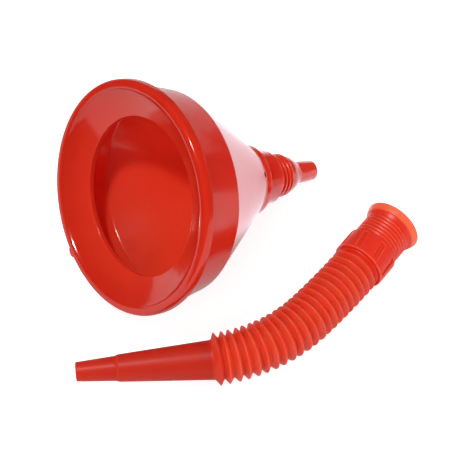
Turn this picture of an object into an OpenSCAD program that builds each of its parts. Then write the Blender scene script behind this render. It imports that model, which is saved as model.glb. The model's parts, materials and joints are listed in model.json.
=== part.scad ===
// Funnel with a pressed-on splash ring and a detachable bellows spout.
// The funnel lies on its rim and spout tip; the bellows spout lies beside it.
// Millimetres. +X follows the funnel axis seen from above, +Z is up, floor at z = 0.

/* [Splash ring] */
// Outer radius of the rim
rim_r = 80; // [66.7:0.1:96]
// Radius of the mouth opening inside the sloping lip
lip_inner_r = 54.5; // [45.4:0.1:60]
// Depth of the lip's inner edge behind the rim plane
lip_drop = 8.5; // [5:0.5:11]
// Thickness of the lip
lip_wall = 1.6; // [1.2:0.1:2.2]
// Width of the rounded rim bead
bead_w = 7.4; // [6:0.1:9]
// Depth of the skirt that hides the bowl's top edge
skirt_d = 5; // [4.6:0.1:7]

/* [Bowl] */
// Wall thickness of the bowl
wall = 1.8; // [1.2:0.1:2.4]
// Depth of the collar behind the rim plane
collar_d = 35; // [29.2:0.1:42]
// How much the collar narrows from top to cone
collar_taper = 6; // [4:0.1:8]
// Radius of the neck flange where the cone ends
flange_r = 25.5; // [23:0.1:30]
// Depth of the neck flange's front edge behind the rim plane
flange_d = 103.6; // [92:0.1:124]
// Thickness of the neck flange
flange_t = 4.8; // [3:0.1:6]

/* [Neck and outlet] */
// Radius of the smooth seat band behind the flange
band_r = 19.4; // [18.4:0.1:21]
// Length of the seat band
band_l = 16.9; // [14:0.1:20]
// Outer radius of the thread ridges
thread_r = 15.7; // [14.6:0.1:17]
// Spacing of the thread ridges
thread_pitch = 3.4; // [3:0.1:4]
// Length of the rounded shoulder between thread and outlet
shoulder_l = 13.7; // [10:0.1:16]
// Outlet radius at its root
outlet_root_r = 8.6; // [8:0.1:9.6]
// Outlet radius at its tip
outlet_tip_r = 7.4; // [7:0.1:7.9]
// Length of the outlet
outlet_l = 17.8; // [14.8:0.1:21.4]
// Bore radius of the outlet
outlet_bore_r = 6; // [5:0.1:6.3]

/* [Hanging eyelet] */
// Outer radius of the eyelet
eyelet_r = 5.2; // [4.6:0.1:5.4]
// Radius of the hole in the eyelet
eyelet_bore_r = 2.5; // [2:0.1:3]
// Thickness of the eyelet
eyelet_t = 2.4; // [2:0.1:3]
// How far round from the lowest rim point the eyelet sits, in degrees
eyelet_turn = 24.5; // [24:0.5:40]

/* [Bellows spout] */
// Outer radius of the bellows crests
crest_r = 17.9; // [17.2:0.1:18.6]
// Spacing of the bellows crests
crest_pitch = 5.8; // [5.5:0.1:7]
// Bore radius of the bellows passage
passage_r = 11.4; // [9.5:0.1:11.6]
// Outer radius of the ball band at each bellows joint
ball_r = 13.1; // [13:0.1:13.3]
// Outer radius of the discharge tip
tip_r = 6.5; // [6:0.1:7]
// Bore radius of the discharge tip
tip_bore_r = 5; // [4:0.1:5.2]
// Length of the discharge tip up to its step
tip_l = 26.7; // [22.3:0.1:32]
// Length of the whole nozzle, tip to first bellows joint
nozzle_l = 91.1; // [76:0.1:109]
// Radius of the grip collar on the socket
grip_r = 19.1; // [18.6:0.1:19.8]
// Outer radius of the flared socket mouth
flare_r = 20.9; // [20.6:0.1:22]
// Length of the socket from last bellows joint to mouth
socket_l = 47.4; // [44:0.1:57]

/* [Resting bend] */
// Direction the nozzle points away from, seen from above, in degrees
nozzle_heading = -29.3; // [-36:0.1:-20]
// Bend of each joint in the tight part of the curve, in degrees
bend_tight = 6; // [0:0.1:8]
// Bend of each other joint, in degrees
bend_gentle = 1.2; // [0:0.1:2.8]

/* [Hidden] */
$fn = 96;
ring_gap = 0.05;
seat_gap = 0.3;
joint_gap = 0.3;
segments = 11;
first_tight = 1;
last_tight = 7;
most_bend = 9.4;

// Splash ring
skirt_wall = 1.8;
bead_rise = 2.2;
bead_r = 3;
lip_fold = 4;
lip_flat_r = rim_r - bead_w;
lip_slope = lip_drop / (lip_flat_r - lip_inner_r);
lip_under = lip_wall / cos(atan(lip_slope));

// Bowl
top_bead = rim_r - skirt_wall - ring_gap;
collar_top_r = rim_r - 3;
collar_end_r = collar_top_r - collar_taper;
top_z = lip_wall + ring_gap;
bead_bottom = skirt_d - 0.7;
edge_step = 0.5;
cone_half = atan((collar_end_r - edge_step - flange_r) / (flange_d - collar_d));
cone_wall = wall / cos(cone_half);

// Neck and outlet
band_z = flange_d + flange_t;
thread_z = band_z + band_l;
thread_root_r = thread_r - 1.3;
thread_n = 4;
thread_l = thread_n * thread_pitch + 1;
shoulder_z = thread_z + thread_l;
outlet_z = shoulder_z + shoulder_l;
funnel_l = outlet_z + outlet_l;
neck_wall = 1.6;
neck_bore_r = thread_root_r - neck_wall;

// Small round pip on the cone, just ahead of the flange
pip_r = wall - 0.1;
pip_back = 2.4;
pip_turn = -138;
pip_c = flange_r + pip_back * tan(cone_half);

// Resting pose of the funnel: the collar's back edge and the outlet tip touch the floor
tip_round = 0.8;
rest_z = funnel_l - tip_round;
tilt_collar = atan((collar_end_r - outlet_tip_r) / (rest_z - collar_d));
tilt_skirt = atan((rim_r - outlet_tip_r) / (rest_z - skirt_d));
tilt = max(tilt_collar, tilt_skirt);
rim_h = outlet_tip_r * cos(tilt) + rest_z * sin(tilt);

// Eyelet
eyelet_c = rim_r + 5.5;
eyelet_z = skirt_d + seat_gap;

// Bellows spout
cup_r = ball_r + joint_gap;
cup_wall = 1.2;
seg_l = 2 * crest_pitch;
lean = tan(most_bend / 2);
valley_r = ball_r + 1.1;
crest_flat = 0.45;
ball_reach = 4;
socket_bore_r = thread_r + seat_gap;
sleeve_r = socket_bore_r + 1.0;
sleeve_rib = 0.7;
sleeve_n = 5;
sleeve_pitch = 3.1;
collar_from = 2.4;
collar_end = 20.4;
thread_room = 19;
flare_l = 9.4;
slots = 8;
slot_w = 3.4;
slot_depth = 1.2;
slot_from = 5;
slot_to = 18.4;
slot_slant = 8;
slot_turn = -145;

// Resting place of the bellows spout, in its own plane
side_room = 24.9;
hinge1 = [-4.8, -rim_r - side_room];
function bend(k) = (k >= first_tight && k <= last_tight) ? bend_tight : bend_gentle;
function head(i) = (i == 0) ? nozzle_heading : head(i - 1) + bend(i);
function dir(a) = [cos(a), sin(a)];
function hinge(k) = (k == 1) ? hinge1 : hinge(k - 1) + seg_l * dir(head(k - 1));
mouth = hinge(segments + 1) + socket_l * dir(head(segments + 1));
chord = mouth - hinge1;
chord_dir = atan2(chord[1], chord[0]);
pitch_up = asin((flare_r - crest_r) / norm(chord));
floor_gap = 0.1;

// Middle of the whole set, seen from above
centre_x = 41.684;
centre_y = -27.077;

function seg_name(i) = str("bellows_", i < 10 ? "0" : "", i);

red = [0.78, 0.15, 0.08];
orange = [0.86, 0.2, 0.1];

// Places a shape drawn round the Z axis onto the lying funnel
module funnel_pose()
  translate([-centre_x, -centre_y, rim_h]) rotate([0, 90 + tilt, 0]) children();

// Places a shape drawn in the bellows plane onto the floor
module spout_pose()
  translate([hinge1[0] - centre_x, hinge1[1] - centre_y, crest_r + floor_gap])
    rotate([0, 0, chord_dir]) rotate([0, -pitch_up, 0]) rotate([0, 0, -chord_dir])
      translate([-hinge1[0], -hinge1[1], 0]) children();

// Lays a shape drawn up the Z axis along one link, starting at its hinge
module link(at, heading)
  spout_pose() translate([at[0], at[1], 0]) rotate([0, 0, heading])
    rotate([0, 90, 0]) children();

module splash_ring()
  color(red) funnel_pose() {
    rotate_extrude() polygon([
      [lip_inner_r, lip_drop],
      [lip_flat_r - 1, lip_slope],
      [lip_flat_r + 1, -0.6],
      [lip_flat_r + 2.4, -bead_rise + 0.4],
      [lip_flat_r + 3.6, -bead_rise],
      [rim_r - 2.2, -bead_rise],
      [rim_r - 0.9, -bead_rise + 0.5],
      [rim_r - 0.2, -bead_rise + 1.6],
      [rim_r, 0],
      [rim_r, skirt_d],
      [rim_r - skirt_wall, skirt_d],
      [rim_r - skirt_wall, lip_wall],
      [collar_top_r - wall - 1, lip_wall],
      [lip_flat_r - 1, lip_slope + lip_under],
      [lip_inner_r + lip_wall, lip_drop + lip_under],
      [lip_inner_r + lip_wall, lip_drop + lip_fold],
      [lip_inner_r + 0.4, lip_drop + lip_fold],
      [lip_inner_r, lip_drop + lip_fold - 0.4]]);
  }

module bowl_body()
  rotate_extrude() polygon([
    [collar_top_r - wall, top_z],
    [top_bead, top_z],
    [top_bead, bead_bottom],
    [collar_top_r, bead_bottom],
    [collar_end_r, collar_d],
    [collar_end_r - edge_step, collar_d + edge_step],
    [flange_r, flange_d],
    [flange_r, band_z - 0.4],
    [flange_r - 0.4, band_z],
    [band_r, band_z],
    [band_r, thread_z - 0.4],
    [band_r - 0.4, thread_z],
    [thread_root_r, thread_z],
    [thread_root_r, shoulder_z],
    [thread_root_r - 0.6, shoulder_z + shoulder_l * 0.25],
    [thread_root_r - 1.9, shoulder_z + shoulder_l * 0.5],
    [thread_root_r - 3.8, shoulder_z + shoulder_l * 0.75],
    [outlet_root_r, outlet_z],
    [outlet_tip_r, funnel_l - tip_round],
    [outlet_tip_r - tip_round, funnel_l],
    [outlet_bore_r, funnel_l],
    [outlet_bore_r, outlet_z],
    [neck_bore_r - 2, shoulder_z + shoulder_l * 0.4],
    [neck_bore_r, shoulder_z],
    [neck_bore_r, thread_z - 1],
    [band_r - neck_wall, band_z + 2],
    [flange_r - cone_wall, flange_d - 1],
    [collar_end_r - edge_step - cone_wall, collar_d],
    [collar_end_r - wall, collar_d - 1]]);

// One thread ridge, a closed ring
module ridge(r, z, rise, w)
  translate([0, 0, z]) rotate_extrude() polygon([
    [r - 0.5, -w / 2],
    [r, -w / 2],
    [r + rise, -w / 6],
    [r + rise, w / 6],
    [r, w / 2],
    [r - 0.5, w / 2]]);

module eyelet_lug()
  rotate([0, 0, eyelet_turn]) translate([0, 0, eyelet_z]) difference() {
    union() {
      translate([eyelet_c, 0, 0]) cylinder(r = eyelet_r, h = eyelet_t);
      translate([collar_top_r - wall + 0.4, -eyelet_r, 0])
        cube([eyelet_c - collar_top_r + wall - 0.4, 2 * eyelet_r, eyelet_t]);
    }
    translate([eyelet_c, 0, -1]) cylinder(r = eyelet_bore_r, h = eyelet_t + 2);
  }

module bowl()
  color(red) funnel_pose() union() {
    bowl_body();
    for (i = [0:thread_n - 1])
      ridge(thread_root_r, thread_z + 1.7 + i * thread_pitch, thread_r - thread_root_r, 2.4);
    eyelet_lug();
    rotate([0, 0, pip_turn]) translate([pip_c, 0, flange_d - pip_back]) sphere(r = pip_r);
  }

// Ball band that ends a link at its far hinge; its centre is the origin
module ball_band()
  intersection() {
    sphere(r = ball_r);
    translate([0, 0, -0.2]) cylinder(r = ball_r + 1, h = ball_reach + 0.2);
  }

module nozzle()
  color(orange) link(hinge(1), head(0)) difference() {
    union() {
      rotate_extrude() polygon([
        [0, -nozzle_l],
        [tip_r - 0.5, -nozzle_l],
        [tip_r, -nozzle_l + 0.5],
        [tip_r + 1.9, -nozzle_l + tip_l],
        [tip_r + 2.6, -nozzle_l + tip_l + 2],
        [ball_r - 0.4, -5],
        [ball_r, -3],
        [ball_r, 0],
        [0, 0]]);
      ball_band();
    }
    translate([0, 0, -nozzle_l - 1]) cylinder(r = tip_bore_r, h = nozzle_l);
    translate([0, 0, -nozzle_l + tip_l - 5]) rotate_extrude() polygon([
      [0, 0],
      [tip_bore_r, 0],
      [tip_r + 1.1, 7],
      [passage_r, nozzle_l - tip_l],
      [passage_r, nozzle_l - tip_l + 20],
      [0, nozzle_l - tip_l + 20]]);
  }

// One crest of the bellows, its near side kept clear of the next link
module bellows_segment()
  difference() {
    union() {
      rotate_extrude() polygon([
        [passage_r, lean * (cup_r + cup_wall) + joint_gap],
        [cup_r + cup_wall, lean * (cup_r + cup_wall) + joint_gap],
        [crest_r, crest_pitch / 2 - crest_flat],
        [crest_r, crest_pitch / 2 + crest_flat],
        [valley_r, crest_pitch - crest_flat],
        [valley_r, crest_pitch + crest_flat],
        [crest_r, 3 * crest_pitch / 2 - crest_flat],
        [crest_r, 3 * crest_pitch / 2 + crest_flat],
        [valley_r, seg_l - lean * valley_r - joint_gap],
        [ball_r, seg_l - lean * ball_r - joint_gap],
        [ball_r, seg_l],
        [passage_r, seg_l]]);
      translate([0, 0, seg_l]) ball_band();
    }
    sphere(r = cup_r);
    translate([0, 0, -1]) cylinder(r = passage_r, h = seg_l + ball_reach + 2);
  }

module socket_body()
  rotate_extrude() polygon([
    [passage_r, lean * (cup_r + cup_wall) + joint_gap],
    [cup_r + cup_wall, lean * (cup_r + cup_wall) + joint_gap],
    [grip_r - 0.8, collar_from],
    [grip_r, collar_from + 0.8],
    [grip_r, collar_end - 0.6],
    [grip_r - 0.6, collar_end],
    [sleeve_r, collar_end + 0.4],
    [sleeve_r, socket_l - flare_l],
    [sleeve_r + 1.1, socket_l - flare_l + 3],
    [flare_r - 1.2, socket_l - 3],
    [flare_r, socket_l],
    [flare_r - 1.1, socket_l],
    [flare_r - 2.3, socket_l - 3],
    [socket_bore_r, socket_l - flare_l + 2],
    [socket_bore_r, thread_room],
    [passage_r + 2, thread_room - 4],
    [passage_r + 2, 9],
    [passage_r, 7.6]]);

module socket()
  color(orange) link(hinge(segments + 1), head(segments + 1)) difference() {
    union() {
      socket_body();
      for (i = [0:sleeve_n - 1])
        ridge(sleeve_r, collar_end + 2.2 + i * sleeve_pitch, sleeve_rib, 2.2);
    }
    sphere(r = cup_r);
    for (i = [0:slots - 1])
      rotate([0, 0, slot_turn + i * 360 / slots])
        translate([grip_r - slot_depth, 0, (slot_from + slot_to) / 2])
          rotate([slot_slant, 0, 0])
            translate([0, -slot_w / 2, -(slot_to - slot_from) / 2])
              cube([slot_depth + 1, slot_w, slot_to - slot_from]);
  }

module segment(i)
  color(orange) link(hinge(i), head(i)) bellows_segment();

bowl();
splash_ring();
nozzle();
segment(1);
segment(2);
segment(3);
segment(4);
segment(5);
segment(6);
segment(7);
segment(8);
segment(9);
segment(10);
segment(11);
socket();
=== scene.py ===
"""Looks of the plastic funnel, its pressed-on splash ring and its bellows spout.

Outlines are in millimetres in a piece's own frame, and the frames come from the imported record.
"""

import json
import math

import bmesh
import bpy
import numpy as np
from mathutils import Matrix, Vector

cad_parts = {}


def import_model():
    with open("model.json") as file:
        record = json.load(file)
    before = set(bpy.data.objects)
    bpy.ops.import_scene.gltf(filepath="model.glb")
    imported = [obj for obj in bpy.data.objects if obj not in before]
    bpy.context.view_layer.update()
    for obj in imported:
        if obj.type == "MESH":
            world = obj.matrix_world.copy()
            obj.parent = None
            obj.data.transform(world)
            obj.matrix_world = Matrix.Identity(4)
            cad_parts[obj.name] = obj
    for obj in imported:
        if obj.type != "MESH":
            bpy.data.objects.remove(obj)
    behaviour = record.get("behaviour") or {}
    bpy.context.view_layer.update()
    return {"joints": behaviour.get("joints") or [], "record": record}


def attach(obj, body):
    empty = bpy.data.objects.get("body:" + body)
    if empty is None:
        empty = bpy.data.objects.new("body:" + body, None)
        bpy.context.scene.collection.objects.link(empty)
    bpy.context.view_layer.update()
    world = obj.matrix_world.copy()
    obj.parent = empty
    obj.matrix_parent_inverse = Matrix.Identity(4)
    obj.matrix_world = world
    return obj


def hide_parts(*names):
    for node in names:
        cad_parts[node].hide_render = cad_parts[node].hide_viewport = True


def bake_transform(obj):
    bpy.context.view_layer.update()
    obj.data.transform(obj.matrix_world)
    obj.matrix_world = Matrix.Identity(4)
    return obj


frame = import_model()
MM = 0.001

# ---------------------------------------------------------------- where things are
mounts = {m["name"]: m for m in frame["record"]["mounts"]}
joints = {j["name"]: j for j in frame["joints"]}


def unit(v):
    v = np.array(v, float)
    return v / np.linalg.norm(v)


def place(origin, z, x):
    """A local frame: origin, and columns x, y, z, from a Z axis and a rough X axis."""
    z = unit(z)
    y = unit(np.cross(z, x))
    return np.array(origin, float), np.column_stack([np.cross(y, z), y, z])


def world(points, frame_at):
    """Points in millimetres in a local frame, as metres in the row frame."""
    origin, axes = frame_at
    return origin + (np.array(points, float) * MM) @ axes.T


# The funnel's own frame: rim centre, Z towards the outlet, X towards the lowest rim point
FUNNEL_LENGTH = 171.4
outlet = mounts["outlet_bore"]
funnel_axis = unit(outlet["axis"])
rim_centre = np.array(outlet["pos_m"]) - funnel_axis * (FUNNEL_LENGTH - 1.0) * MM
funnel_at = place(rim_centre, funnel_axis, (0, 0, -1))

# The bellows: twelve hinges in one plane, link k between hinge k and hinge k + 1
LINKS = 11
PITCH = 5.8
hinge = {k: np.array(joints["bend_%02d" % k]["pos_m"]) for k in range(1, LINKS + 2)}
normal = unit(joints["bend_01"]["axis"])
along = {k: unit(hinge[k + 1] - hinge[k]) for k in range(1, LINKS + 1)}
along[0] = -unit(mounts["nozzle_tip_bore"]["axis"])
along[LINKS + 1] = unit(mounts["socket_bore"]["axis"])
link_at = {k: place(hinge[max(k, 1)], along[k], -normal) for k in range(LINKS + 2)}
body = {k: "link_%02d" % k for k in range(1, LINKS + 1)}
body[0], body[LINKS + 1] = "nozzle", "socket"


# ---------------------------------------------------------------- mesh making
def soften(corners, steps=4):
    """A closed outline from (r, z, rounding) corners, each corner turned into a short curve."""
    out = []
    n = len(corners)
    for i, (r, z, f) in enumerate(corners):
        p = np.array([r, z])
        if f <= 0:
            out.append(p)
            continue
        a = np.array(corners[i - 1][:2]) - p
        b = np.array(corners[(i + 1) % n][:2]) - p
        la, lb = np.linalg.norm(a), np.linalg.norm(b)
        s = min(f, 0.48 * la, 0.48 * lb)
        a, b = p + a / la * s, p + b / lb * s
        for t in np.linspace(0, 1, steps + 1):
            out.append((1 - t) ** 2 * a + 2 * t * (1 - t) * p + t * t * b)
    return np.array(out)


def ring_mesh(outline, around, shape=None):
    """Verts and faces of an outline (r, z) turned about Z. shape(r, z, angle) may change r and z."""
    turns = np.linspace(0, 2 * math.pi, around, endpoint=False)
    r = np.repeat(outline[:, 0][:, None], around, 1)
    z = np.repeat(outline[:, 1][:, None], around, 1)
    th = np.repeat(turns[None, :], len(outline), 0)
    if shape:
        r, z = shape(r, z, th)
    verts = np.stack([r * np.cos(th), r * np.sin(th), z], -1).reshape(-1, 3)
    faces = []
    rows = len(outline)
    for i in range(rows):
        j = (i + 1) % rows
        for k in range(around):
            m = (k + 1) % around
            faces.append((i * around + k, i * around + m, j * around + m, j * around + k))
    return verts, faces


def about_z(points, angle):
    """Points turned about Z."""
    c, s = math.cos(angle), math.sin(angle)
    return points @ np.array([[c, -s, 0], [s, c, 0], [0, 0, 1]]).T


def join_parts(parts):
    """Several (verts, faces) as one."""
    verts, faces, start = [], [], 0
    for v, f in parts:
        verts.append(v)
        faces += [tuple(start + i for i in face) for face in f]
        start += len(v)
    return np.vstack(verts), faces


def make_piece(name, verts, faces, material, sharp=38):
    """A mesh object from row-frame verts in metres, smooth but for its sharp edges."""
    mesh = bpy.data.meshes.new(name)
    mesh.from_pydata([tuple(v) for v in verts], [], faces)
    bm = bmesh.new()
    bm.from_mesh(mesh)
    bmesh.ops.recalc_face_normals(bm, faces=bm.faces)
    bm.to_mesh(mesh)
    bm.free()
    mesh.shade_smooth()
    mesh.set_sharp_from_angle(angle=math.radians(sharp))
    mesh.materials.append(material)
    obj = bpy.data.objects.new(name, mesh)
    bpy.context.scene.collection.objects.link(obj)
    return obj


def step(x, lo, hi):
    """A smooth rise from 0 at lo to 1 at hi."""
    t = np.clip((x - lo) / (hi - lo), 0, 1)
    return t * t * (3 - 2 * t)


def fine(a, b, n):
    """Outline points between two corners, so that a shape function has something to move."""
    t = np.linspace(0, 1, n + 1)[1:-1]
    return [(a[0] + (b[0] - a[0]) * s, a[1] + (b[1] - a[1]) * s, 0) for s in t]


# ---------------------------------------------------------------- materials
def plastic(name, colour, deep, glow, rough, scatter, depth, shine=0.5):
    """Moulded polyethylene: slow colour drift, flow marks, satin patches, fine skin and soft rub marks.

    A per-vertex attribute blends the colour to glow: painted glow and painted highlights, standing in for
    light through thin plastic and on lit edges. Depth is in metres.
    """
    mat = bpy.data.materials.new(name)
    mat.use_nodes = True
    nt = mat.node_tree
    nodes, links = nt.nodes, nt.links
    bsdf = nodes["Principled BSDF"]
    coords = nodes.new("ShaderNodeTexCoord")

    def noise(scale, detail, coarseness, stretch=None):
        n = nodes.new("ShaderNodeTexNoise")
        n.inputs["Scale"].default_value = scale
        n.inputs["Detail"].default_value = detail
        n.inputs["Roughness"].default_value = coarseness
        if stretch:
            m = nodes.new("ShaderNodeMapping")
            m.inputs["Scale"].default_value = stretch
            links.new(coords.outputs["Object"], m.inputs["Vector"])
            links.new(m.outputs["Vector"], n.inputs["Vector"])
        else:
            links.new(coords.outputs["Object"], n.inputs["Vector"])
        return n

    def ramp(source, a, b, lo=0.35, hi=0.65):
        m = nodes.new("ShaderNodeMapRange")
        m.inputs["From Min"].default_value = lo
        m.inputs["From Max"].default_value = hi
        m.inputs["To Min"].default_value = a
        m.inputs["To Max"].default_value = b
        links.new(source, m.inputs["Value"])
        return m.outputs["Result"]

    def mix(a, b, fac):
        m = nodes.new("ShaderNodeMix")
        m.data_type = "RGBA"
        for key, v in (("A", a), ("B", b)):
            sock = [s for s in m.inputs if s.name == key and s.type == "RGBA"][0]
            if isinstance(v, tuple):
                sock.default_value = (*v, 1)
            else:
                links.new(v, sock)
        links.new(fac, m.inputs["Factor"])
        return [s for s in m.outputs if s.type == "RGBA"][0]

    drift = noise(14, 3, 0.55)
    flow = noise(60, 4, 0.6, (1.0, 1.0, 0.22))
    patches = noise(45, 3, 0.5)
    skin = noise(900, 2, 0.5)
    wave = noise(110, 2, 0.45)
    rubs = noise(420, 3, 0.7, (0.15, 1.0, 1.0))
    painted_light = nodes.new("ShaderNodeAttribute")
    painted_light.attribute_name = "painted_light"
    base = mix(colour, deep, ramp(drift.outputs["Fac"], 0.0, 1.0))
    base = mix(base, tuple(c * 1.06 for c in colour), ramp(flow.outputs["Fac"], 0.0, 0.5))
    # Painted light: the per-vertex mark lifts the colour toward the glow colour, as painted glow and painted
    # highlights
    base = mix(base, glow, painted_light.outputs["Fac"])
    links.new(base, bsdf.inputs["Base Color"])
    gloss = nodes.new("ShaderNodeMath")
    gloss.operation = "ADD"
    links.new(ramp(patches.outputs["Fac"], rough, rough + 0.05), gloss.inputs[0])
    links.new(ramp(rubs.outputs["Fac"], 0.0, 0.035, 0.52, 0.75), gloss.inputs[1])
    links.new(gloss.outputs[0], bsdf.inputs["Roughness"])
    heights = nodes.new("ShaderNodeMath")
    heights.operation = "MULTIPLY_ADD"
    heights.inputs[1].default_value = 0.06
    links.new(skin.outputs["Fac"], heights.inputs[0])
    links.new(wave.outputs["Fac"], heights.inputs[2])
    bump = nodes.new("ShaderNodeBump")
    bump.inputs["Strength"].default_value = 0.16
    bump.inputs["Distance"].default_value = 0.0006
    links.new(heights.outputs[0], bump.inputs["Height"])
    links.new(bump.outputs["Normal"], bsdf.inputs["Normal"])
    bsdf.inputs["IOR"].default_value = 1.52
    bsdf.inputs["Specular IOR Level"].default_value = shine
    bsdf.inputs["Subsurface Weight"].default_value = scatter
    bsdf.inputs["Subsurface Radius"].default_value = (1.0, 0.12, 0.05)
    bsdf.inputs["Subsurface Scale"].default_value = depth
    return mat


red = plastic(
    "bowl_red", colour=(0.62, 0.020, 0.007), deep=(0.56, 0.015, 0.005), glow=(0.96, 0.06, 0.025),
    rough=0.12, scatter=0.8, depth=0.009)
ring_red = plastic(
    "ring_red", colour=(0.61, 0.021, 0.007), deep=(0.56, 0.016, 0.005), glow=(0.8, 0.05, 0.02),
    rough=0.10, scatter=0.5, depth=0.005)
spout_red = plastic(
    "spout_red", colour=(0.76, 0.030, 0.010), deep=(0.71, 0.024, 0.008), glow=(0.95, 0.15, 0.06),
    rough=0.36, scatter=0.5, depth=0.003, shine=0.4)
nozzle_red = plastic(
    "nozzle_red", colour=(0.52, 0.022, 0.009), deep=(0.48, 0.018, 0.008), glow=(0.72, 0.038, 0.015),
    rough=0.38, scatter=0.5, depth=0.003, shine=0.18)


def paint_light_marks(obj, values):
    """Paints light per vertex: how far the colour goes toward glow, as painted glow and painted highlights.
    """
    a = obj.data.attributes.new("painted_light", "FLOAT", "POINT")
    a.data.foreach_set("value", np.clip(values, 0, 1).astype(np.float32))


# ---------------------------------------------------------------- splash ring
AROUND = 288
RIM_R, BEAD_TOP, SKIRT_R, SKIRT_D = 80.0, -2.3, 78.2, 5.0
LIP_R, LIP_D, LIP_FOLD_D, LIP_WALL = 54.5, 8.7, 12.5, 1.6
ring_outline = soften([
    # the sloping lip, then the rounded rim bead
    (LIP_R, LIP_D, 0.5), (70.9, 0.75, 2.4), (73.0, -0.7, 0.8), (74.1, -2.0, 1.0),
    (75.4, BEAD_TOP, 1.0), (77.6, BEAD_TOP, 1.0), (79.0, -1.9, 0.9), (RIM_R, -0.3, 1.0),
    # the skirt, then back along the underside to the folded edge
    (RIM_R, SKIRT_D, 0.5), (SKIRT_R, SKIRT_D, 0.3), (SKIRT_R, LIP_WALL, 0.3), (74.2, LIP_WALL, 0.6),
    (71.2, 2.5, 1.0), (LIP_R + LIP_WALL, 10.3, 0.5), (LIP_R + LIP_WALL, LIP_FOLD_D, 0.5),
    (LIP_R + 0.3, LIP_FOLD_D, 0.5)], 5)
verts, faces = ring_mesh(ring_outline, AROUND)
ring = make_piece("splash_ring_moulding", world(verts, funnel_at), faces, ring_red)
rr = np.hypot(verts[:, 0], verts[:, 1])
# Painted highlight: the lip's inner edge and its folded edge are painted lighter
paint_light_marks(ring, 0.5 * step(55.6 - rr, 0, 1.0) + 0.35 * step(verts[:, 2] - 11, 0, 1.4))
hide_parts("splash_ring")
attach(ring, "funnel")

# ---------------------------------------------------------------- bowl, neck and outlet
COLLAR_R, COLLAR_END_R, COLLAR_D = 77.1, 71.0, 34.7
CONE_R, CONE_Z, FLANGE_R, FLANGE_Z = 70.4, 35.7, 25.5, 103.6
BAND_R, BAND_Z = 19.4, 108.4
THREAD_Z, THREAD_ROOT, THREAD_RISE, THREAD_PITCH, THREAD_LEN = 125.3, 14.4, 1.35, 3.4, 14.6
OUTLET_BORE, OUTLET_TIP_R = 6.0, 7.4


def thread(r, z, th):
    """A rounded helical ridge that fades in and out over a third of a turn."""
    turn = (z - THREAD_Z - 1.3) / THREAD_PITCH - th / (2 * math.pi)
    near = turn - np.round(turn)
    lead = step(z - THREAD_Z, 0.3, 1.3) * step(THREAD_Z + THREAD_LEN - z, 0.0, 1.4)
    rise = THREAD_RISE * (1 - step(np.abs(near), 0.16, 0.40)) * lead
    moved = (np.abs(z - THREAD_Z - THREAD_LEN / 2) <= THREAD_LEN / 2 + 0.01) & (r > 13.5)
    return np.where(moved, r + rise, r), z


root = (THREAD_ROOT, THREAD_Z, 0.3)
shoulder = (THREAD_ROOT, THREAD_Z + THREAD_LEN, 0)
bowl_outline = soften([
    # the top edge, collar, cone and flange
    (75.2, 1.65, 0.3), (78.1, 1.65, 0.3), (78.1, 4.2, 0.3), (COLLAR_R, 4.4, 0.2),
    (COLLAR_END_R, COLLAR_D, 0.9), (CONE_R, CONE_Z, 0.9), (FLANGE_R, FLANGE_Z, 0.35), (FLANGE_R, BAND_Z, 0.6),
    # the smooth band and the threaded neck
    (BAND_R, BAND_Z, 0.5), (BAND_R, THREAD_Z, 0.7), root] + fine(root, shoulder, 60) + [
    # the rounded shoulder and the outlet
    shoulder, (13.9, 143.4, 1.0), (12.6, 146.7, 1.4), (10.7, 150.0, 1.4), (8.7, 152.6, 1.6),
    (8.3, 156.0, 1.2), (OUTLET_TIP_R, FUNNEL_LENGTH, 0.9), (OUTLET_BORE, FUNNEL_LENGTH, 0.3),
    # back up the inside
    (OUTLET_BORE, 153.6, 0.8), (10.8, 145.4, 1.2), (12.8, 139.9, 1.2), (12.8, 124.3, 1.2),
    (17.8, 110.4, 1.2), (23.3, 102.6, 1.0), (68.3, 35.0, 0.8), (69.2, 34.0, 0.8)], 4)
parts = [ring_mesh(bowl_outline, AROUND, thread)]

# Hanging eyelet: a rounded washer and the web that carries it
EYELET_TURN, EYELET_R, EYELET_Z, EYELET_T = math.radians(24.5), 85.5, 5.3, 2.4
EYELET_HOLE_R, EYELET_EDGE_R = 2.5, 5.2
washer, washer_faces = ring_mesh(soften([
    (EYELET_HOLE_R, 0, 0.5), (EYELET_EDGE_R, 0, 0.8), (EYELET_EDGE_R, EYELET_T, 0.8),
    (EYELET_HOLE_R, EYELET_T, 0.5)], 4), 64)
washer = washer + np.array([EYELET_R, 0, EYELET_Z])
web_outline = [(75.8, 4.6), (79.2, 4.4), (81.6, 3.9), (82.0, 0), (81.6, -3.9), (79.2, -4.4), (75.8, -4.6)]
web_levels = [(5.45, 0.9625), (5.6, 1.0), (7.4, 1.0), (7.55, 0.9625)]  # height, share of the width
web = np.array([(x, y * share, z) for z, share in web_levels for x, y in web_outline])
n = len(web_outline)
web_faces = [tuple(range(n))[::-1], tuple(range(3 * n, 4 * n))]
for low in (0, n, 2 * n):
    for k in range(n):
        after = (k + 1) % n
        web_faces.append((low + k, low + after, low + n + after, low + n + k))
parts += [(about_z(washer, EYELET_TURN), washer_faces), (about_z(web, EYELET_TURN), web_faces)]

# Small moulding pip on the cone, just ahead of the flange
PIP_TURN, PIP_BACK, PIP_R = math.radians(-138), 2.6, 2.1
pip, pip_faces = ring_mesh(soften([
    (0.02, 1.1, 0), (1.0, 0.95, 0.6), (1.8, 0.5, 0.7), (PIP_R, 0.0, 0.4), (PIP_R, -0.9, 0), (0.02, -0.9, 0)],
    5), 48)
half = math.atan2(CONE_R - FLANGE_R, FLANGE_Z - CONE_Z)
out = np.array([math.cos(half), 0, math.sin(half)])
down_cone = np.array([-math.sin(half), 0, math.cos(half)])
pip_at = np.array([FLANGE_R + PIP_BACK * math.tan(half), 0, FLANGE_Z - PIP_BACK])
pip = pip_at + pip @ np.array([down_cone, [0, 1, 0], out])
parts.append((about_z(pip, PIP_TURN), pip_faces))

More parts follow.
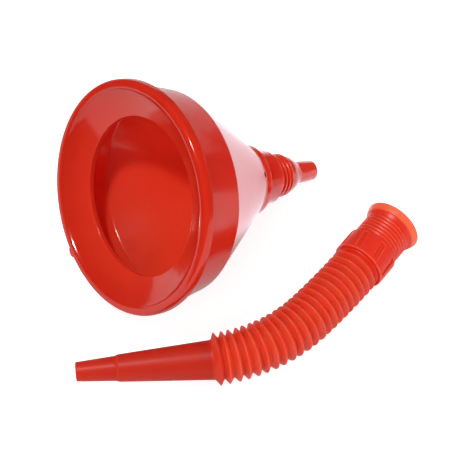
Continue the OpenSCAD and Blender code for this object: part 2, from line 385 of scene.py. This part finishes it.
verts, faces = join_parts(parts)
bowl = make_piece("bowl_moulding", world(verts, funnel_at), faces, red)
rr = np.hypot(verts[:, 0], verts[:, 1])
z = verts[:, 2]
# Painted light: the inside of the bowl is painted much lighter, standing in for light inside the funnel;
# painted highlights on the thread tops and flange edge, and the neck band and outlet painted lighter
inside = (rr < np.interp(z, (1.6, 34.5, 102.6, 110.4), (75.4, 69.4, 23.3, 17.8)) + 0.5) & (z < 124)
ridge_tops = step(rr, 14.9, 15.6) * (z > 125.6)
flange_edge = np.exp(-((z - 108.1) / 0.5) ** 2) * (rr > 24.6)
paint_light_marks(bowl, 0.25 * step(z, 110, 126) + 0.3 * step(z, 146, 154) + 0.55 * ridge_tops + 0.8 * flange_edge
          + 0.85 * inside)
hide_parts("bowl")
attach(bowl, "funnel")

# ---------------------------------------------------------------- nozzle
NOZZLE_L, TIP_R, TIP_BORE = 91.1, 6.5, 5.0
nozzle_outline = soften([
    (TIP_R, -NOZZLE_L, 0.7), (8.35, -64.9, 0.5), (8.6, -64.2, 0.3), (9.2, -62.6, 0.5), (13.05, -PITCH, 0),
    (11.6, -PITCH, 0), (7.7, -61.0, 1.0), (TIP_BORE, -69.4, 1.0), (TIP_BORE, -NOZZLE_L, 0.4)], 4)
verts, faces = ring_mesh(nozzle_outline, 160)
nozzle = make_piece("nozzle_moulding", world(verts, link_at[0]), faces, nozzle_red)
rr = np.hypot(verts[:, 0], verts[:, 1])
z = verts[:, 2]
# Painted light: the tip is painted lighter and a painted highlight line runs round the step
paint_light_marks(nozzle, 0.6 * step(-z, 89.6, NOZZLE_L) + 0.5 * np.exp(-((z + 63.4) / 0.8) ** 2) * (rr > 8))
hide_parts("nozzle")
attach(nozzle, "nozzle")

# ---------------------------------------------------------------- bellows
CREST, VALLEY = 17.85, 14.1
CREST_WALL, VALLEY_WALL = 1.35, 1.0
SOCKET_PASSAGE = 13.4
REACH = PITCH - 1.0


def fold(k):
    """The sleeve round hinge k, as an outline of (r, s, rounding): outside first, then back inside."""
    q = PITCH / 2
    near = [(VALLEY, -PITCH, 0), (VALLEY, -PITCH + 0.25, 0.3), (CREST - 0.05, -q - 0.22, 0.55),
            (CREST - 0.05, -q + 0.22, 0.55), (VALLEY, -0.15, 0.5), (VALLEY, 0.15, 0.5)]
    far = [(CREST, q - 0.22, 0.55), (CREST, q + 0.22, 0.55), (VALLEY, PITCH - 0.25, 0.3), (VALLEY, PITCH, 0)]
    if k == 1:  # begins as the nozzle's mouth
        near = [(13.05, -PITCH, 0), (13.3, -2.0, 0.8), (13.5, 0.2, 1.2)]
    if k == LINKS + 1:  # ends as the socket's shoulder
        near = near[:-1]
        far = [(VALLEY + 0.2, 0.5, 0.5), (16.6, 1.7, 0.8), (16.9, 2.3, 0.3), (16.9, PITCH, 0)]
    outer = near + far
    inner = [(r - (VALLEY_WALL if abs(r - VALLEY) < 1 else CREST_WALL), s, f) for r, s, f in outer][::-1]
    if k == 1:
        inner[-3:] = [(12.1, 0.2, 1.2), (11.9, -2.0, 0.8), (11.6, -PITCH, 0)]
    if k == LINKS + 1:
        inner[:3] = [(SOCKET_PASSAGE, PITCH, 0), (SOCKET_PASSAGE, 2.3, 0.3), (SOCKET_PASSAGE, 1.7, 0.5)]
    return soften(outer + inner, 5)


bend_rest = {}
for k in range(1, LINKS + 2):
    a, b = along[k - 1], along[k]
    bend_rest[k] = math.atan2(np.dot(np.cross(a, b), normal), np.dot(a, b))

for k in range(1, LINKS + 2):
    verts, faces = ring_mesh(fold(k), 168)
    s = verts[:, 2]
    origin, axes = place(hinge[k], along[k - 1], -normal)
    p = world(verts, (np.zeros(3), axes))
    turn = (step(s, -REACH, REACH) * bend_rest[k])[:, None]
    on_axis = normal * (p @ normal)[:, None]
    p = p * np.cos(turn) + np.cross(normal, p) * np.sin(turn) + on_axis * (1 - np.cos(turn))
    material = nozzle_red if k == 1 else spout_red
    sleeve = make_piece("bellows_fold_%02d" % k, p + origin, faces, material, 60)
    rr = np.hypot(verts[:, 0], verts[:, 1])
    # Painted light: painted highlights along the crests, the valleys painted a little lighter against their
    # shade, and the first fold lighter toward the nozzle
    crests = step(rr, CREST - 0.35, CREST - 0.02)
    valleys = step(-rr, -VALLEY - 1.8, -VALLEY)
    paint_light_marks(sleeve, step(s, -2.5, 0.5) if k == 1 else 0.55 * crests + 0.16 * valleys)
    if k <= LINKS:
        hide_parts("bellows_%02d" % k)
    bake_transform(sleeve)

# ---------------------------------------------------------------- socket
SLOTS, SLOT_TURN, SLOT_SLANT = 8, math.radians(-145.2), math.radians(8)
SLOT_MID, SLOT_HALF_WIDTH, SLOT_HALF_STRAIGHT, SLOT_DEPTH = 11.8, 1.4, 6.3, 1.2
GRIP_R, COLLAR = 19.1, (2.6, 20.4)
SLEEVE_R, RIB_START, RIB_PITCH, RIB_HEIGHT = 17.0, 22.0, 2.9, 0.65
SOCKET_BORE = 16.0


def slot_distance(z, th):
    """How far a point of the collar lies outside the edge of the nearest slot; less than zero is inside."""
    turn = (th - SLOT_TURN) / (2 * math.pi / SLOTS)
    off = (turn - np.round(turn)) * (2 * math.pi / SLOTS) * GRIP_R + (z - SLOT_MID) * math.tan(SLOT_SLANT)
    across, lengthwise = np.abs(off) - SLOT_HALF_WIDTH, np.abs(z - SLOT_MID) - SLOT_HALF_STRAIGHT
    beyond = np.hypot(np.maximum(across, 0), np.maximum(lengthwise, 0))
    return beyond + np.minimum(np.maximum(across, lengthwise), 0)


def rib_height(z, th):
    """Zero to one over the sleeve's helical ribs."""
    turn = (z - RIB_START) / RIB_PITCH + th / (2 * math.pi)
    return (0.5 + 0.5 * np.cos(2 * math.pi * turn)) * step(z, 21.3, 22.6) * step(39.4 - z, 0, 1.4)


def socket_shape(r, z, th):
    """Slots pressed into the collar, and the helical ribs of the sleeve."""
    on_collar = (r > 18.9) & (z > COLLAR[0]) & (z < COLLAR[1])
    slotted = np.where(on_collar, r - SLOT_DEPTH * (1 - step(slot_distance(z, th), 0.35, 0.8)), r)
    on_sleeve = (np.abs(r - SLEEVE_R) < 0.02) & (z > 21.4) & (z < 39.4)
    return np.where(on_sleeve, slotted + RIB_HEIGHT * rib_height(z, th), slotted), z


collar_from, collar_to = (GRIP_R, 3.7, 0), (GRIP_R, 19.6, 0)
sleeve_from, sleeve_to = (SLEEVE_R, 21.5, 0), (SLEEVE_R, 39.0, 0)
socket_outline = soften(
    # the collar, the ribbed sleeve, the flared mouth, then back up the bore
    [(16.9, PITCH - 3.2, 0), (18.3, 2.45, 0.3), (GRIP_R, 3.3, 0.5)]
    + [collar_from] + fine(collar_from, collar_to, 52) + [collar_to]
    + [(GRIP_R, 20.2, 0.5), (18.4, 20.6, 0.3), (SLEEVE_R, 21.0, 0.4)]
    + [sleeve_from] + fine(sleeve_from, sleeve_to, 70) + [sleeve_to]
    + [(17.4, 40.0, 0.8), (18.5, 42.0, 1.0), (19.3, 42.6, 0.5), (20.2, 45.2, 0.8), (20.9, 47.4, 0.5),
       (19.8, 47.4, 0.3), (19.0, 44.9, 0.8), (17.6, 42.2, 1.0), (SOCKET_BORE, 39.4, 1.0),
       (SOCKET_BORE, 19.0, 0.5), (SOCKET_PASSAGE, 15.0, 1.0), (SOCKET_PASSAGE, PITCH - 3.2, 0)], 4)
verts, faces = ring_mesh(socket_outline, 384, socket_shape)
socket = make_piece("socket_moulding", world(verts, link_at[LINKS + 1]), faces, spout_red)
rr = np.hypot(verts[:, 0], verts[:, 1])
z = verts[:, 2]
angles = np.arctan2(verts[:, 1], verts[:, 0])
# Painted light: the flared mouth painted lighter, painted highlights on the rib tops, round the slot edges
# and at the start of the collar
flare = step(z, 41.6, 43.2)
rib_tops = rib_height(z, angles) ** 3 * (rr > 16.9)
slot_edges = np.exp(-((slot_distance(z, angles) - 0.85) / 0.28) ** 2) * (rr > 18.6) * (z < 20.6)
collar_start = np.exp(-((z - 3.2) / 0.4) ** 2) * (rr > 18.4)
paint_light_marks(socket, 0.95 * flare + 0.4 * rib_tops + 0.5 * slot_edges + 0.5 * collar_start)
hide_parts("socket")
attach(socket, "socket")

# ---------------------------------------------------------------- floor, lamps and camera
scene = bpy.context.scene


def light_path(nt, glossy):
    """One for camera and see-through rays, the given share for reflections, and nothing for the rest."""
    ray = nt.nodes.new("ShaderNodeLightPath")
    share = nt.nodes.new("ShaderNodeMath")
    share.operation = "MULTIPLY"
    share.inputs[1].default_value = glossy
    nt.links.new(ray.outputs["Is Glossy Ray"], share.inputs[0])
    seen = nt.nodes.new("ShaderNodeMath")
    seen.operation = "MAXIMUM"
    nt.links.new(ray.outputs["Is Camera Ray"], seen.inputs[0])
    nt.links.new(share.outputs[0], seen.inputs[1])
    either = nt.nodes.new("ShaderNodeMath")
    either.operation = "MAXIMUM"
    nt.links.new(seen.outputs[0], either.inputs[0])
    nt.links.new(ray.outputs["Is Transmission Ray"], either.inputs[1])
    return either.outputs[0]


floor_mesh = bpy.data.meshes.new("floor")
bm = bmesh.new()
bmesh.ops.create_grid(bm, x_segments=8, y_segments=8, size=1.6)
bm.to_mesh(floor_mesh)
bm.free()
floor = bpy.data.objects.new("floor", floor_mesh)
scene.collection.objects.link(floor)
floor.location = (0.5, 0.6, -0.0002)
floor_mat = bpy.data.materials.new("floor_white")
floor_mat.use_nodes = True
nt = floor_mat.node_tree
bsdf = nt.nodes["Principled BSDF"]
bsdf.inputs["Base Color"].default_value = (0.82, 0.82, 0.82, 1)
bsdf.inputs["Roughness"].default_value = 0.9
bsdf.inputs["Specular IOR Level"].default_value = 0.0
seen = light_path(nt, 0.05)
emit = nt.nodes.new("ShaderNodeMath")
emit.operation = "MULTIPLY"
emit.inputs[1].default_value = 0.75
nt.links.new(seen, emit.inputs[0])
nt.links.new(emit.outputs[0], bsdf.inputs["Emission Strength"])
bsdf.inputs["Emission Color"].default_value = (1, 1, 1, 1)
floor_mesh.materials.append(floor_mat)

studio = bpy.data.worlds.new("studio")
scene.world = studio
studio.use_nodes = True
nt = studio.node_tree
background = nt.nodes["Background"]
level = nt.nodes.new("ShaderNodeMapRange")
level.inputs["To Min"].default_value = 0.38
level.inputs["To Max"].default_value = 1.0
nt.links.new(light_path(nt, 1.0), level.inputs["Value"])
nt.links.new(level.outputs["Result"], background.inputs["Strength"])
background.inputs["Color"].default_value = (1, 1, 1, 1)


def soft_border(nt, shade, border):
    """Lets a card fade to clear over its outer share, from its own generated coordinates."""
    axes = nt.nodes.new("ShaderNodeSeparateXYZ")
    nt.links.new(nt.nodes.new("ShaderNodeTexCoord").outputs["Generated"], axes.inputs[0])
    whole = None
    for axis in ("X", "Y"):
        fold = nt.nodes.new("ShaderNodeMath")
        fold.operation = "PINGPONG"
        fold.inputs[1].default_value = 0.5
        nt.links.new(axes.outputs[axis], fold.inputs[0])
        fade = nt.nodes.new("ShaderNodeMapRange")
        fade.interpolation_type = "SMOOTHSTEP"
        fade.inputs["From Max"].default_value = border
        nt.links.new(fold.outputs[0], fade.inputs["Value"])
        if whole is None:
            whole = fade.outputs["Result"]
            continue
        both = nt.nodes.new("ShaderNodeMath")
        both.operation = "MULTIPLY"
        nt.links.new(whole, both.inputs[0])
        nt.links.new(fade.outputs["Result"], both.inputs[1])
        whole = both.outputs[0]
    nt.links.new(whole, shade.inputs["Alpha"])


# Studio flags and cards, which show in reflections only, as the room round the white table does
def card(name, verts, faces, grey, tint=(1, 1, 1), border=0.0):
    """A stage surface seen by reflections alone. A border fades it out toward its edges."""
    mesh = bpy.data.meshes.new(name)
    mesh.from_pydata(verts, [], faces)
    mat = bpy.data.materials.new(name)
    mat.use_nodes = True
    shade = mat.node_tree.nodes["Principled BSDF"]
    shade.inputs["Base Color"].default_value = (0, 0, 0, 1)
    shade.inputs["Specular IOR Level"].default_value = 0.0
    shade.inputs["Emission Color"].default_value = (*tint, 1)
    shade.inputs["Emission Strength"].default_value = grey
    if border:
        soft_border(mat.node_tree, shade, border)
    mesh.materials.append(mat)
    obj = bpy.data.objects.new(name, mesh)
    scene.collection.objects.link(obj)
    obj.visible_camera = obj.visible_diffuse = obj.visible_transmission = False
    obj.visible_shadow = obj.visible_volume_scatter = False


def flat(x0, y0, x1, y1, z):
    """A level rectangle, between two corners."""
    return [(x0, y0, z), (x1, y0, z), (x1, y1, z), (x0, y1, z)], [(0, 1, 2, 3)]


# The dark room, the dark table either side, a grey patch before the lip and the bright table by the cone
ROOM, TALL, SIDES = 4.0, 3.5, 24
turns = np.linspace(0, 2 * math.pi, SIDES, endpoint=False)
wall = [(ROOM * math.cos(t), ROOM * math.sin(t), z) for z in (0.001, TALL) for t in turns]
card("room", wall, [(i, (i + 1) % SIDES, SIDES + (i + 1) % SIDES, SIDES + i) for i in range(SIDES)]
     + [tuple(range(SIDES, 2 * SIDES))], 0.05)
card("dark_left", *flat(-4.0, -4.0, -0.32, 4.0, 0.0008), 0.04)
card("dark_right", *flat(0.47, -4.0, 4.0, 0.1, 0.0008), 0.08)
card("pale_front", *flat(-0.09, -0.13, 0.06, 0.03, 0.0002), 0.5, border=0.15)
card("bright_right", *flat(0.035, -0.075, 0.28, 0.19, 0.0004), 1.65, (0.93, 0.99, 1.07), 0.12)


def lamp(name, at, target, size, power, in_reflections=True):
    data = bpy.data.lights.new(name, "AREA")
    data.shape = "RECTANGLE"
    data.size, data.size_y = size
    data.energy = power
    obj = bpy.data.objects.new(name, data)
    scene.collection.objects.link(obj)
    obj.location = at
    obj.visible_glossy = in_reflections
    obj.rotation_mode = "QUATERNION"
    obj.rotation_quaternion = (Vector(target) - Vector(at)).to_track_quat("-Z", "Y")
    return obj


lamp("key", (-0.55, 0, 1.5), (0, 0, 0.05), (0.14, 0.14), 12)
lamp("left", (-1.3, -0.5, 0.9), (0, 0, 0.05), (0.7, 0.7), 4, False)
lamp("right", (1.0, -0.9, 0.9), (0, 0, 0.05), (0.9, 0.9), 5, False)
lamp("front", (0.4, -1.4, 0.35), (0, 0, 0.05), (0.8, 0.5), 5, False)

camera = bpy.data.objects.new("camera", bpy.data.cameras.new("camera"))
scene.collection.objects.link(camera)
scene.camera = camera
AZIMUTH, ELEVATION, DISTANCE = math.radians(-34.865), math.radians(50.635), 1.2
AIM = Vector((0.03484, 0.02467, 0))
back = Vector((math.sin(AZIMUTH) * math.cos(ELEVATION), -math.cos(AZIMUTH) * math.cos(ELEVATION),
               math.sin(ELEVATION)))
camera.location = AIM + back * DISTANCE
camera.rotation_mode = "QUATERNION"
camera.rotation_quaternion = back.to_track_quat("Z", "Y")
camera.data.lens = 132.8
camera.data.sensor_width = 36
camera.data.clip_end = 20

scene.view_settings.view_transform = "Standard"

bpy.context.view_layer.update()
